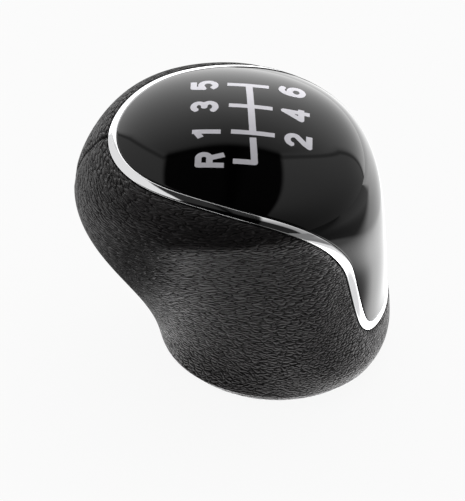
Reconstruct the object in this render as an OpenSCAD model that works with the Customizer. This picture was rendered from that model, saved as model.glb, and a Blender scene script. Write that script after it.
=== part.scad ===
// Gear shift knob: a leather-wrapped moulded core, a gloss cap whose tongue runs down the back,
// and one bright trim ring that loops along the edge between them.
// +Z runs up the lever axis, +Y points forward in the car, +X to the car's right.
// The origin lies on the lever axis at the mouth of the threaded insert.

/* [Body sections, from the foot to the top] */
// Radius of the round foot
foot_radius = 24.2; // [22.8:0.2:25.4]
// Radius of the leather's fold round the foot
foot_round = 2; // [1.7:0.1:2.4]
// Section at the ankle: rise above the leather's underside
ankle_rise = 6.3; // [5.4:0.1:7.4]
// Section at the ankle: reach to the front
ankle_front = 26; // [24.3:0.1:27.3]
// Section at the ankle: reach to the rear
ankle_rear = 25.3; // [24.2:0.1:26.2]
// Section at the ankle: half width
ankle_side = 23.2; // [22.4:0.1:24.2]
// Section at the ankle: how far the widest place lies forward, as a share of the half width
ankle_egg = -0.14; // [-0.2:0.01:0.1]
// Section at the waist: rise above the ankle
waist_rise = 6.5; // [5.6:0.1:7.4]
// Section at the waist: reach to the front
waist_front = 30; // [28.3:0.1:31.3]
// Section at the waist: reach to the rear
waist_rear = 24; // [23.1:0.1:24.9]
// Section at the waist: half width
waist_side = 22.3; // [21.5:0.1:23.5]
// Section at the waist: how far the widest place lies forward
waist_egg = -0.18; // [-0.24:0.01:0.1]
// Section at the flare: rise above the waist
flare_rise = 7.7; // [6.6:0.1:8.8]
// Section at the flare: reach to the front
flare_front = 35.8; // [33.9:0.1:36.9]
// Section at the flare: reach to the rear
flare_rear = 23.2; // [22.2:0.1:24.2]
// Section at the flare: half width
flare_side = 22.4; // [21.5:0.1:23.5]
// Section at the flare: how far the widest place lies forward
flare_egg = -0.13; // [-0.2:0.01:0.1]
// Section at the palm: rise above the flare
palm_rise = 8.8; // [7.6:0.1:10]
// Section at the palm: reach to the front
palm_front = 40.7; // [39.1:0.1:42.1]
// Section at the palm: reach to the rear
palm_rear = 21.9; // [20.8:0.1:22.8]
// Section at the palm: half width
palm_side = 23.8; // [23:0.1:25]
// Section at the palm: how far the widest place lies forward
palm_egg = -0.02; // [-0.1:0.01:0.1]
// Section at the nose: rise above the palm
nose_rise = 8.7; // [7.6:0.1:9.8]
// Section at the nose: reach to the front
nose_front = 42.6; // [41.1:0.1:44.1]
// Section at the nose: reach to the rear
nose_rear = 20.5; // [19.5:0.1:21.5]
// Section at the nose: half width
nose_side = 26.1; // [25.3:0.1:26.8]
// Section at the nose: how far the widest place lies forward
nose_egg = 0; // [-0.08:0.01:0.06]
// Section at the brow: rise above the nose
brow_rise = 8.2; // [7.2:0.1:9.2]
// Section at the brow: reach to the front
brow_front = 39; // [37.7:0.1:40.2]
// Section at the brow: reach to the rear
brow_rear = 17.6; // [16.8:0.1:18.8]
// Section at the brow: half width
brow_side = 28.8; // [27.8:0.1:29.5]
// Section at the brow: how far the widest place lies forward
brow_egg = 0.05; // [-0.04:0.01:0.1]
// Section at the crown: rise above the brow
crown_rise = 5.6; // [4.8:0.1:6.4]
// Section at the crown: reach to the front
crown_front = 30.6; // [29.4:0.1:31.9]
// Section at the crown: reach to the rear
crown_rear = 10.6; // [9.8:0.1:11.8]
// Section at the crown: half width
crown_side = 22.3; // [21.3:0.1:23.3]
// Rise of the highest point above the last section
top_rise = 3.4; // [2.8:0.1:4]
// How square the sections are at their shoulders, 0 for plain ovals
squareness = 0.05; // [0:0.01:0.08]

/* [Trim ring's course, from the rear midline round to the front] */
// Height of the ring at the end of the tongue, above the leather's underside
end_height = 12.8; // [11.8:0.1:13.8]
// Angle to the floor of the tongue
floor_turn = 18; // [16:0.5:20]
// Rise to the floor of the tongue
floor_rise = 0.6; // [0.2:0.1:1]
// Angle on to the turn of the tongue
bend_turn = 10; // [9:0.5:11]
// Rise on to the turn of the tongue
bend_rise = 0.6; // [0.2:0.1:1]
// Angle on to the corner of the tongue
corner_turn = 9.5; // [8.5:0.5:10.5]
// Rise on to the corner of the tongue
corner_rise = 2.5; // [2:0.1:3]
// Angle on to the side of the tongue
side_turn = 3.5; // [2.5:0.5:4.5]
// Rise on to the side of the tongue
side_rise = 12.7; // [11.7:0.1:13.7]
// Angle on to the root of the tongue
root_turn = 3.5; // [2.5:0.5:4.5]
// Rise on to the root of the tongue
root_rise = 5.6; // [4.8:0.1:6.4]
// Angle on to the hip of the cap
hip_turn = 14.5; // [13:0.5:16]
// Depth of the ring below the top at the hip
hip_drop = 8.4; // [7.4:0.1:9.4]
// Angle on to the flank of the cap
flank_turn = 25; // [22:1:28]
// Depth below the top at the flank
flank_drop = 4.7; // [4.2:0.1:5.2]
// Angle on to the cheek of the cap
cheek_turn = 31; // [28:1:34]
// Depth below the top at the cheek
cheek_drop = 3.8; // [3.5:0.1:4.2]
// Angle on to the lip of the cap
lip_turn = 35; // [32:1:38]
// Depth below the top at the lip
lip_drop = 4.6; // [4.1:0.1:5.1]
// Depth below the top at the front midline
prow_drop = 5.6; // [5:0.1:6.3]

/* [Skins] */
// Thickness of the leather
leather_thick = 1.3; // [1:0.1:1.6]
// Layer of glue under the leather
glue_gap = 0.15; // [0.1:0.05:0.2]
// Wall of the gloss cap
cap_wall = 2.4; // [2:0.1:2.8]
// Wall of the core
core_wall = 2.4; // [2:0.1:2.8]
// Width of the trim ring's band
band_width = 2; // [1.8:0.1:2.4]
// Height of the band's face above the skins
band_crown = 0.2; // [0.1:0.05:0.35]
// Rounding of the band's two edges
band_round = 0.3; // [0.2:0.05:0.4]
// Gap between the band and the skins on each side
edge_gap = 0.12; // [0.08:0.02:0.2]
// Clearance under the band and under the cap's edge
seat_gap = 0.05; // [0.02:0.01:0.1]
// Width of the ledge that carries the cap's edge
ledge_width = 1.1; // [0.9:0.1:1.3]
// Clearance between the ledge and the cap's inner lip
lip_gap = 0.15; // [0.1:0.05:0.25]
// Thickness of the cap's inner lip
lip_thick = 1.1; // [1:0.1:1.3]
// Depth of the lip below the ledge
lip_depth = 1.9; // [1.5:0.1:2.2]
// Rounding of the cap's outer edge
cap_bevel = 0.25; // [0.1:0.05:0.4]

/* [Ring pegs and cap hooks] */
// Radius of a locating peg under the ring
peg_radius = 0.75; // [0.6:0.05:0.9]
// Length of a peg beyond the core's wall
peg_stick_out = 0.8; // [0.4:0.1:1.2]
// Clearance round a peg
peg_clearance = 0.15; // [0.1:0.05:0.25]
// Reach of a cap hook under the core's edge
hook_reach = 0.8; // [0.6:0.1:1]
// Thickness of a hook's catch
hook_thick = 1; // [0.8:0.1:1.3]
// Clearance over a hook's catch
hook_clearance = 0.3; // [0.2:0.05:0.4]

/* [Foot and lever socket] */
// Depth of the recess in the foot, from the hem ring's underside to the insert
recess_depth = 6; // [5:0.5:8]
// Thickness of the hem ring's flange under the leather
flange_thick = 1; // [0.8:0.1:1.4]
// Distance of the hem ring's edge inside the foot's outline
flange_inset = 3.8; // [3.2:0.1:4.6]
// Width of the leather's hem that the flange clamps
hem_width = 2.4; // [2:0.1:2.8]
// Width of the hem ring's raised seat inside the hem, out from the recess
seat_width = 4.5; // [4.3:0.1:5]
// Clearance between the hem and the raised seat
hem_gap = 0.2; // [0.1:0.05:0.4]
// Break of the hem ring's lower edges
flange_chamfer = 0.3; // [0.1:0.05:0.4]
// Thickness of the core's floor, recess wall and roof
floor_thick = 2; // [1.6:0.1:2.4]
// Wall of the central boss round the insert
boss_wall = 3; // [2.5:0.25:3.5]
// Plastic over the top of the insert
boss_cover = 2; // [1.5:0.5:4]
// Thickness of the core's ribs
rib_thick = 2; // [1.6:0.1:2.6]
// Height of the front and side ribs at the wall, above the leather's underside
rib_height = 29.6; // [26:0.4:32.8]
// Distance of the rear rib's end below the ring at the wall
rear_rib_drop = 4.2; // [3.8:0.2:6]

/* [Threaded insert] */
// Length of the insert
insert_length = 22; // [18:1:24]
// Radius of the insert
insert_radius = 6.5; // [6.2:0.1:7]
// How far the insert's flange stands out at the mouth
insert_flange_out = 1.1; // [0.8:0.1:1.6]
// Thickness of that flange
insert_flange_thick = 1.2; // [1:0.1:1.6]
// Depth of the two grooves that hold the insert in the plastic
groove_depth = 0.7; // [0.5:0.1:0.9]
// Width of a groove
groove_width = 1.6; // [1.2:0.1:2]
// Minor radius of the lever's M10 x 1.25 thread
bore_radius = 4.35; // [4.2:0.05:4.5]
// Closed end of the insert above the threaded bore
insert_end = 3; // [2:0.5:6]
// Lead-in chamfer at the mouth
bore_chamfer = 0.3; // [0.2:0.1:0.4]

/* [Hem ring screws] */
// Radius of a screw's thread
screw_radius = 1; // [0.9:0.05:1.1]
// Radius of a screw's countersunk head
screw_head = 1.8; // [1.7:0.05:1.9]
// Length of a screw
screw_length = 8; // [7:0.5:9]
// Radius of the hexagon socket in a screw's head
drive_radius = 0.7; // [0.5:0.05:0.8]
// Depth of that socket
drive_depth = 0.9; // [0.6:0.1:1]
// How far the heads sit below the hem ring's face
screw_sink = 0.1; // [0.05:0.05:0.2]
// Clearance of the holes through the hem ring
screw_clearance = 0.15; // [0.1:0.05:0.2]
// Radius of the pillars that take the screws
pillar_radius = 2.5; // [2.3:0.1:2.8]

/* [Hidden] */
// How finely the surfaces are drawn
STEPS_PER_SPAN = 4;
LEATHER_ROWS = 12;
CAP_ROWS = 12;
CORE_ROWS = 6;
HEIGHT_SEARCH_STEPS = 22;
ROW_STEP = 0.02;
SMALL = 0.001;
$fn = 64;

// Levels along the lever axis
foot_z = -recess_depth;
leather_z = foot_z + flange_thick;
hem_top_z = leather_z + leather_thick;
core_z = hem_top_z + glue_gap;
floor_top_z = core_z + floor_thick;
boss_top_z = insert_length + boss_cover;
skin_depth = leather_thick + glue_gap;
flange_radius = foot_radius - flange_inset;
seat_radius = flange_radius - hem_width;
hem_radius = seat_radius + hem_gap;
recess_radius = seat_radius - seat_width;
screw_circle = seat_radius - seat_width / 2;
boss_radius = insert_radius + boss_wall;
insert_flange = insert_radius + insert_flange_out;
bore_depth = insert_length - insert_end;

// Body surface: rows of height, centre, half length, half width and egg
ankle_z = leather_z + ankle_rise;
waist_z = ankle_z + waist_rise;
flare_z = waist_z + flare_rise;
palm_z = flare_z + palm_rise;
nose_z = palm_z + nose_rise;
brow_z = nose_z + brow_rise;
crown_z = brow_z + crown_rise;
top_z = crown_z + top_rise;
function section_row(z, front, rear, side, egg) =
    [z, (front - rear) / 2, (front + rear) / 2, side, side * egg];
sections = [
    section_row(leather_z + foot_round, foot_radius, foot_radius, foot_radius, 0),
    section_row(ankle_z, ankle_front, ankle_rear, ankle_side, ankle_egg),
    section_row(waist_z, waist_front, waist_rear, waist_side, waist_egg),
    section_row(flare_z, flare_front, flare_rear, flare_side, flare_egg),
    section_row(palm_z, palm_front, palm_rear, palm_side, palm_egg),
    section_row(nose_z, nose_front, nose_rear, nose_side, nose_egg),
    section_row(brow_z, brow_front, brow_rear, brow_side, brow_egg),
    section_row(crown_z, crown_front, crown_rear, crown_side, 0),
    [top_z, (crown_front - crown_rear) / 2, 0, 0, 0]
];
pole_t = len(sections) - 1;

// Past the top, the sections come back down on the other side
function opposite(row) = [row[0], row[1], -row[2], -row[3], row[4]];

// Control row that draws a cubic B-spline close to the row p, between its neighbours a and b
function pulled(a, p, b) = 2 * p - (a + 4 * p + b) / 6;
function control_row(rows, i, after) =
    pulled(rows[i - 1], rows[i], i + 1 < len(rows) ? rows[i + 1] : after);
body_inner_controls = [
    for (i = [1:pole_t]) control_row(sections, i, opposite(sections[pole_t - 1]))
];
body_controls = [
    2 * sections[0] - body_inner_controls[0],
    sections[0],
    each body_inner_controls,
    opposite(body_inner_controls[pole_t - 2])
];

function spline_at(controls, t) =
    let (i = min(floor(t), len(controls) - 4), u = t - i, v = 1 - u)
    (v * v * v * controls[i]
        + (3 * u * u * u - 6 * u * u + 4) * controls[i + 1]
        + (3 * v * v * v - 6 * v * v + 4) * controls[i + 2]
        + u * u * u * controls[i + 3]) / 6;

// Point of the outer skin at row t and angle a, which runs from the rear midline towards +X
function skin(t, a) =
    let (row = spline_at(body_controls, t), c = cos(a), s = sin(a))
    [
        s * (row[3] * (1 + squareness * c * c) - row[4] * c),
        row[1] - row[2] * c * (1 + squareness * s * s),
        row[0]
    ];

function unit(v) = v / norm(v);
function along_a(t, a) = skin(t, a + 0.5) - skin(t, a - 0.5);
function along_t(t, a) =
    let (low = max(t - ROW_STEP, 0), high = min(t + ROW_STEP, pole_t))
    (skin(high, a) - skin(low, a)) / (high - low);
function outward(t, a) =
    t > pole_t - 1.5 * ROW_STEP ? [0, 0, 1] : unit(cross(along_a(t, a), along_t(t, a)));
function inset(t, a, depth) = skin(t, a) - depth * outward(t, a);

// Row t whose section lies at height z
function row_of_height(z, low = 0, high = pole_t, steps = HEIGHT_SEARCH_STEPS) =
    let (middle = (low + high) / 2)
    steps == 0 ? middle
        : spline_at(body_controls, middle)[0] < z
            ? row_of_height(z, middle, high, steps - 1)
            : row_of_height(z, low, middle, steps - 1);

// Course of the trim ring: angle and level, from the rear midline to the front midline
bend_angle = floor_turn + bend_turn;
corner_angle = bend_angle + corner_turn;
side_angle = corner_angle + side_turn;
root_angle = side_angle + root_turn;
hip_angle = root_angle + hip_turn;
flank_angle = hip_angle + flank_turn;
cheek_angle = flank_angle + cheek_turn;
lip_angle = cheek_angle + lip_turn;
end_z = leather_z + end_height;
floor_z = end_z + floor_rise;
bend_z = floor_z + bend_rise;
corner_z = bend_z + corner_rise;
side_z = corner_z + side_rise;
root_z = side_z + root_rise;
course = [
    [0, end_z],
    [floor_turn, floor_z],
    [bend_angle, bend_z],
    [corner_angle, corner_z],
    [side_angle, side_z],
    [root_angle, root_z],
    [hip_angle, top_z - hip_drop],
    [flank_angle, top_z - flank_drop],
    [cheek_angle, top_z - cheek_drop],
    [lip_angle, top_z - lip_drop],
    [180, top_z - prow_drop]
];
spans = len(course) - 1;
function course_at(i) =
    i < 0 ? [-course[-i][0], course[-i][1]]
        : i > spans ? [360 - course[2 * spans - i][0], course[2 * spans - i][1]]
            : course[i];
course_controls = [
    for (i = [-1:spans + 1]) pulled(course_at(i - 1), course_at(i), course_at(i + 1))
];

// Stations of the ring, as angle and row, round the whole loop
half_count = spans * STEPS_PER_SPAN;
station_count = 2 * half_count;
half_stations = [
    for (j = [0:half_count])
        let (p = spline_at(course_controls, j / STEPS_PER_SPAN))
        [p[0], row_of_height(p[1])]
];
function station(j) =
    let (k = (j + station_count) % station_count)
    k <= half_count ? half_stations[k]
        : [360 - half_stations[station_count - k][0], half_stations[station_count - k][1]];
function station_point(j) = let (s = station(j)) skin(s[1], s[0]);

// Angle step between two stations, across the rear midline too
function turn_between(a, b) = (b - a + 540) % 360 - 180;

// Direction in the skin, square to the ring and towards the cap
function capward(j) =
    let (s = station(j), n = outward(s[1], s[0]))
    cross(n, unit(station_point(j + 1) - station_point(j - 1)));

// Station j moved by b towards the cap along the skin, as angle and row
function shifted(j, b) =
    let (
        s = station(j),
        da = along_a(s[1], s[0]),
        dt = along_t(s[1], s[0]),
        step = b * capward(j),
        e = da * da,
        f = da * dt,
        g = dt * dt,
        p = step * da,
        q = step * dt,
        det = e * g - f * f
    )
    [s[0] + (g * p - f * q) / det, s[1] + (e * q - f * p) / det];

// Point beside the ring: b towards the cap and n out of the skin
function at_ring(j, b, n) = let (s = shifted(j, b)) inset(s[1], s[0], -n);

half_band = band_width / 2;
skin_edge = half_band + edge_gap;
ledge_edge = skin_edge + ledge_width;
lip_outer = ledge_edge + lip_gap;
lip_inner = lip_outer + lip_thick;
core_inner_depth = skin_depth + core_wall;

// Outward direction of the foot at angle a, and a point of its rounding: 90 is underneath
function foot_out(a) = [sin(a), -cos(a), 0];
function foot_arc(a, radius, turn) =
    (foot_radius - foot_round + radius * cos(turn)) * foot_out(a)
        + [0, 0, leather_z + foot_round - radius * sin(turn)];
function foot_point(a, radius, z) = radius * foot_out(a) + [0, 0, z];
function foot_angle(j) = 360 * j / station_count;

// Place k of the way from the foot below station j to the edge of a skin, as angle and row
function below_ring(j, edge, k) =
    let (s = shifted(j, edge))
    [foot_angle(j) + turn_between(foot_angle(j), s[0]) * k, s[1] * k];

// Two triangles over four corners, split along the shorter diagonal
function quad(points, a, b, c, d) =
    norm(points[a] - points[c]) < norm(points[b] - points[d])
        ? [[a, b, c], [a, c, d]]
        : [[a, b, d], [b, c, d]];

// Closed solid through a ring of columns, each a closed loop of points
module loop_solid(columns) {
    n = len(columns);
    m = len(columns[0]);
    points = [for (column = columns) each column];
    faces = [
        for (i = [0:n - 1], j = [0:m - 1])
            let (a = i * m, b = (i + 1) % n * m, up = (j + 1) % m)
            each quad(points, a + j, a + up, b + up, b + j)
    ];
    polyhedron(points = points, faces = faces);
}

// Closed solid through columns that run from one shared point to another
module pole_solid(first, columns, last) {
    n = len(columns);
    m = len(columns[0]);
    points = [for (column = columns) each column, first, last];
    walls = [
        for (i = [0:n - 1], j = [0:m - 2])
            let (a = i * m + j, b = (i + 1) % n * m + j)
            each quad(points, a, a + 1, b + 1, b)
    ];
    fans = [
        for (i = [0:n - 1])
            let (a = i * m, b = (i + 1) % n * m)
            each [[n * m, a, b], [a + m - 1, n * m + 1, b + m - 1]]
    ];
    polyhedron(points = points, faces = concat(walls, fans));
}

// Children turned so that their Z points out of the skin at station j
module at_station(j) {
    s = station(j);
    n = outward(s[1], s[0]);
    translate(station_point(j))
        rotate([0, acos(n[2]), atan2(n[1], n[0])])
            children();
}

// Leather cover: folded under the foot, up the body and into the groove beside the ring
module leather_cover() {
    color("#2b2829")
        loop_solid([
            for (j = [0:station_count - 1])
                let (a = foot_angle(j), inner = foot_round - leather_thick)
                [
                    foot_point(a, hem_radius, leather_z),
                    for (turn = [90, 60, 30]) foot_arc(a, foot_round, turn),
                    for (k = [0:LEATHER_ROWS])
                        let (p = below_ring(j, -skin_edge, k / LEATHER_ROWS))
                        skin(p[1], p[0]),
                    for (k = [LEATHER_ROWS:-2:2])
                        let (p = below_ring(j, -skin_edge, k / LEATHER_ROWS))
                        inset(p[1], p[0], leather_thick),
                    foot_arc(a, inner, 0),
                    foot_arc(a, inner, 45),
                    foot_point(a, foot_radius - foot_round, hem_top_z),
                    foot_point(a, hem_radius, hem_top_z)
                ]
        ]);
}

// Trim ring: one closed band with rounded edges and pegs that locate it in the core
band_root = -skin_depth + seat_gap;
band_bend = band_round * (1 - cos(45));
band_section = [
    [-half_band, band_root],
    [-half_band, band_crown - band_round],
    [-half_band + band_bend, band_crown - band_bend],
    [-half_band + band_round, band_crown],
    [half_band - band_round, band_crown],
    [half_band - band_bend, band_crown - band_bend],
    [half_band, band_crown - band_round],
    [half_band, band_root]
];
peg_stations = [
    for (side = [1, -1], span = [0.5, 5.5, 7.5, 9.5])
        (station_count + side * span * STEPS_PER_SPAN) % station_count
];
peg_depth = core_inner_depth + peg_stick_out;

module trim_ring() {
    color("#e6e6e8") {
        loop_solid([
            for (j = [0:station_count - 1]) [for (p = band_section) at_ring(j, p[0], p[1])]
        ]);
        for (j = peg_stations)
            at_station(j)
                translate([0, 0, -peg_depth])
                    cylinder(r = peg_radius, h = peg_depth - skin_depth / 2, $fn = 24);
    }
}

// Gloss cap: dome and tongue in one shell, with a lip inside the core's edge.
// At each hook the lip runs deeper and catches under the core's wall.
hook_stations = [
    for (side = [1, -1], span = [1.5, 6.5, 8.5])
        (station_count + side * span * STEPS_PER_SPAN) % station_count
];
function from_hook(j) = min([for (h = hook_stations) abs(h - j)]);
hook_top = -core_inner_depth - hook_clearance;
lip_bottom = -skin_depth - lip_depth;
lip_taper = lip_gap / 2;
catch_chamfer = lip_depth / 4;

// Points of the lip's end at station j: inner corner, outer corner and the catch's edges
function lip_end(j) =
    let (
        deep = from_hook(j) <= 2,
        bottom = deep ? hook_top - hook_thick : lip_bottom,
        catch = deep ? hook_top : lip_bottom + catch_chamfer,
        reach = from_hook(j) <= 1 ? lip_gap + hook_reach : lip_taper
    )
    [
        at_ring(j, lip_inner, bottom),
        at_ring(j, lip_outer - reach / 2, bottom),
        at_ring(j, lip_outer - reach, catch),
        at_ring(j, lip_outer, catch)
    ];

function cap_place(j, k, edge) =
    let (s = shifted(j, edge)) [s[0], s[1] + (pole_t - s[1]) * k];

module gloss_cap() {
    ledge_top = -skin_depth + seat_gap;
    color("#101012")
        pole_solid(
            skin(pole_t, 0) - [0, 0, cap_wall],
            [
                for (j = [0:station_count - 1])
                    [
                        for (k = [CAP_ROWS - 2:-2:0])
                            let (p = cap_place(j, k / CAP_ROWS, lip_inner))
                            inset(p[1], p[0], cap_wall),
                        each lip_end(j),
                        at_ring(j, lip_outer, ledge_top),
                        at_ring(j, skin_edge, ledge_top),
                        at_ring(j, skin_edge, -cap_bevel),
                        for (k = [0:CAP_ROWS - 1])
                            let (p = cap_place(j, k / CAP_ROWS, skin_edge + cap_bevel))
                            skin(p[1], p[0])
                    ]
            ],
            skin(pole_t, 0)
        );
}

// Wall of the core, from the floor to the ledge that carries the ring and the cap
module core_shell() {
    inner_foot = foot_radius - core_inner_depth;
    foot_level = core_z + floor_thick / 10;
    loop_solid([
        for (j = [0:station_count - 1])
            let (a = foot_angle(j))
            [
                foot_point(a, inner_foot, foot_level),
                foot_point(a, foot_radius - foot_round, foot_level),
                foot_arc(a, foot_round - skin_depth, 0),
                for (k = [1:CORE_ROWS])
                    let (p = below_ring(j, -skin_edge, k / CORE_ROWS))
                    inset(p[1], p[0], skin_depth),
                at_ring(j, ledge_edge, -skin_depth),
                at_ring(j, ledge_edge, -core_inner_depth),
                for (k = [CORE_ROWS:-1:1])
                    let (p = below_ring(j, -skin_edge, k / CORE_ROWS))
                    inset(p[1], p[0], core_inner_depth)
            ]
    ]);
}

// Middle of the core's wall where the plane of a rib cuts it
wall_middle = skin_depth + core_wall / 2;
function midline_place(t, a) = let (p = inset(t, a, wall_middle)) [p[1], p[2]];

// Angle at which the row t crosses the plane y = 0
function crossing_angle(t) =
    let (row = spline_at(body_controls, t))
    acos(max(-1, min(1, row[1] / row[2])));
function side_place(t) =
    let (p = inset(t, crossing_angle(t), wall_middle)) [p[0], p[2]];

// Rows of the wall at the lower end of a rib and between a rib's points
wall_low = 0.15;
function rib_row(high, share) = wall_low + (high - wall_low) * share;

// Rib profile: from the boss out to the wall, with a sloping top edge
function rib_profile(wall_points, boss_side) = [
    [boss_side, floor_top_z - floor_thick / 2],
    each wall_points,
    [boss_side, boss_top_z - boss_cover]
];

module ribs() {
    rib_t = row_of_height(leather_z + rib_height);
    rear_t = row_of_height(end_z - rear_rib_drop);
    inside = boss_radius - rib_thick / 2;
    front_points = [for (k = [0:5]) midline_place(rib_row(rib_t, k / 5), 180)];
    rear_points = [for (k = [0:2]) midline_place(rib_row(rear_t, k / 2), 0)];
    side_points = [for (k = [0:5]) side_place(rib_row(rib_t, k / 5))];
    upright = [90, 0, 90];
    translate([-rib_thick / 2, 0, 0])
        rotate(upright)
            linear_extrude(rib_thick) {
                polygon(rib_profile(front_points, inside));
                polygon(rib_profile(rear_points, -inside));
            }
    for (side = [0, 180])
        rotate([0, 0, side])
            translate([0, rib_thick / 2, 0])
                rotate([90, 0, 0])
                    linear_extrude(rib_thick)
                        polygon(rib_profile(side_points, inside));
}

function screw_angle(k) = 60 + 120 * k;
module at_screw(k) {
    rotate([0, 0, screw_angle(k)])
        translate([0, screw_circle, 0])
            children();
}
module screw_places() {
    for (k = [0:2])
        at_screw(k)
            children();
}

// Core: wall, floor, recess for the lever's collar, boss for the insert, ribs and pillars
module core() {
    floor_reach = foot_radius - skin_depth - core_wall / 2;
    pillar_height = foot_z + screw_length + floor_thick - core_z;
    color("#3c3c40")
        difference() {
            union() {
                core_shell();
                translate([0, 0, core_z])
                    cylinder(r = floor_reach, h = floor_thick);
                translate([0, 0, core_z])
                    cylinder(r = recess_radius + floor_thick, h = floor_thick - core_z);
                cylinder(r = boss_radius, h = boss_top_z);
                ribs();
                screw_places()
                    translate([0, 0, core_z])
                        cylinder(r = pillar_radius, h = pillar_height, $fn = 32);
            }
            translate([0, 0, foot_z])
                cylinder(r = recess_radius, h = recess_depth);
            insert_form();
            screw_places()
                translate([0, 0, foot_z])
                    cylinder(r = screw_radius, h = screw_length + floor_thick / 2, $fn = 24);
            for (j = peg_stations)
                at_station(j)
                    translate([0, 0, -core_inner_depth - core_wall])
                        cylinder(r = peg_radius + peg_clearance, h = 3 * core_wall, $fn = 24);
        }
}

// Outer form of the insert, with a flange at the mouth and two holding grooves
module insert_form() {
    groove = insert_radius - groove_depth;
    step = (insert_length - insert_flange_thick - 2 * groove_width) / 3;
    first = insert_flange_thick + step;
    second = first + groove_width + step;
    rotate_extrude()
        polygon([
            [0, 0],
            [insert_flange, 0],
            [insert_flange, insert_flange_thick],
            [insert_radius, insert_flange_thick],
            [insert_radius, first],
            [groove, first],
            [groove, first + groove_width],
            [insert_radius, first + groove_width],
            [insert_radius, second],
            [groove, second],
            [groove, second + groove_width],
            [insert_radius, second + groove_width],
            [insert_radius, insert_length],
            [0, insert_length]
        ]);
}

// Brass insert that screws onto the lever
module lever_insert() {
    color("#b98f4a")
        difference() {
            insert_form();
            translate([0, 0, -SMALL])
                cylinder(r = bore_radius, h = bore_depth + SMALL);
            translate([0, 0, -SMALL])
                cylinder(
                    r1 = bore_radius + bore_chamfer + SMALL,
                    r2 = bore_radius,
                    h = bore_chamfer + SMALL
                );
        }
}

// Hem ring: closes the foot and clamps the leather's hem against the core
module hem_ring() {
    color("#232326")
        difference() {
            rotate_extrude()
                polygon([
                    [recess_radius, foot_z + flange_chamfer],
                    [recess_radius + flange_chamfer, foot_z],
                    [flange_radius - flange_chamfer, foot_z],
                    [flange_radius, foot_z + flange_chamfer],
                    [flange_radius, leather_z],
                    [seat_radius, leather_z],
                    [seat_radius, core_z],
                    [recess_radius, core_z]
                ]);
            screw_places()
                translate([0, 0, foot_z + screw_sink])
                    screw_hole();
        }
}

// Countersunk hole round a screw whose head starts at z = 0
module screw_hole() {
    head = screw_head + screw_clearance;
    shank = screw_radius + screw_clearance;
    rotate_extrude($fn = 24)
        polygon([
            [0, -2 * screw_sink],
            [head, -2 * screw_sink],
            [head, 0],
            [shank, head - shank],
            [shank, screw_length],
            [0, screw_length]
        ]);
}

module hem_screw(k) {
    color("#9a9aa0")
        at_screw(k)
            translate([0, 0, foot_z + screw_sink])
                difference() {
                    rotate_extrude($fn = 24)
                        polygon([
                            [0, 0],
                            [screw_head, 0],
                            [screw_radius, screw_head - screw_radius],
                            [screw_radius, screw_length],
                            [0, screw_length]
                        ]);
                    translate([0, 0, -SMALL])
                        cylinder(r = drive_radius, h = drive_depth, $fn = 6);
                }
}

leather_cover();
trim_ring();
gloss_cap();
core();
lever_insert();
hem_ring();
hem_screw(0);  // hem_screw_1
hem_screw(1);  // hem_screw_2
hem_screw(2);  // hem_screw_3
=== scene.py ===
import math

import bmesh
import bpy
import numpy as np
from mathutils import Matrix, Vector
from mathutils.geometry import delaunay_2d_cdt


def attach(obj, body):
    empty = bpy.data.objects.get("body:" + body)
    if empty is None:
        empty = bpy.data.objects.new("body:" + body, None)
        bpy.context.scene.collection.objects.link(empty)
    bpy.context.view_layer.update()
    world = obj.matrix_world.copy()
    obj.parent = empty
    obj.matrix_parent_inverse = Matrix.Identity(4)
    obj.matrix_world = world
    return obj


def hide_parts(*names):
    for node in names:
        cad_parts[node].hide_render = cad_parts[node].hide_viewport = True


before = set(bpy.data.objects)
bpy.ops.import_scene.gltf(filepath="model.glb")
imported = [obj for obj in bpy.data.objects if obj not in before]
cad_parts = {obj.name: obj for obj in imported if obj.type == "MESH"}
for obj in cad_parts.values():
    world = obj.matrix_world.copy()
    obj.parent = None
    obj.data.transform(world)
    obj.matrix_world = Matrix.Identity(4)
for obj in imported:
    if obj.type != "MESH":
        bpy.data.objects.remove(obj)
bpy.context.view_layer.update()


# Camera
# It stands to the car's left of the knob, about 40 degrees above it, with a small roll.
MM = 0.001
CAMERA_TURN = math.radians(-1.823)
CAMERA_RISE = math.radians(39.608)
CAMERA_ROLL = math.radians(4.485)
CAMERA_DISTANCE = 450 * MM
CAMERA_AIM = Vector((0, 5 * MM, 27.77 * MM))

camera_back = Vector((
    -math.cos(CAMERA_TURN) * math.cos(CAMERA_RISE),
    -math.sin(CAMERA_TURN) * math.cos(CAMERA_RISE),
    math.sin(CAMERA_RISE),
))
level_right = Vector((math.sin(CAMERA_TURN), -math.cos(CAMERA_TURN), 0))
level_up = camera_back.cross(level_right)
camera_right = math.cos(CAMERA_ROLL) * level_right + math.sin(CAMERA_ROLL) * level_up
camera_up = camera_back.cross(camera_right)
camera_data = bpy.data.cameras.new("camera")
camera_data.sensor_fit = "HORIZONTAL"
camera_data.sensor_width = 36
camera_data.lens = 168.8
camera_data.shift_x = -0.0516
camera_data.shift_y = -0.0938
camera = bpy.data.objects.new("camera", camera_data)
camera.matrix_world = Matrix((
    (camera_right.x, camera_up.x, camera_back.x, 0),
    (camera_right.y, camera_up.y, camera_back.y, 0),
    (camera_right.z, camera_up.z, camera_back.z, 0),
    (0, 0, 0, 1),
))
camera.location = CAMERA_AIM + CAMERA_DISTANCE * camera_back
bpy.context.scene.collection.objects.link(camera)
bpy.context.scene.camera = camera


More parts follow.
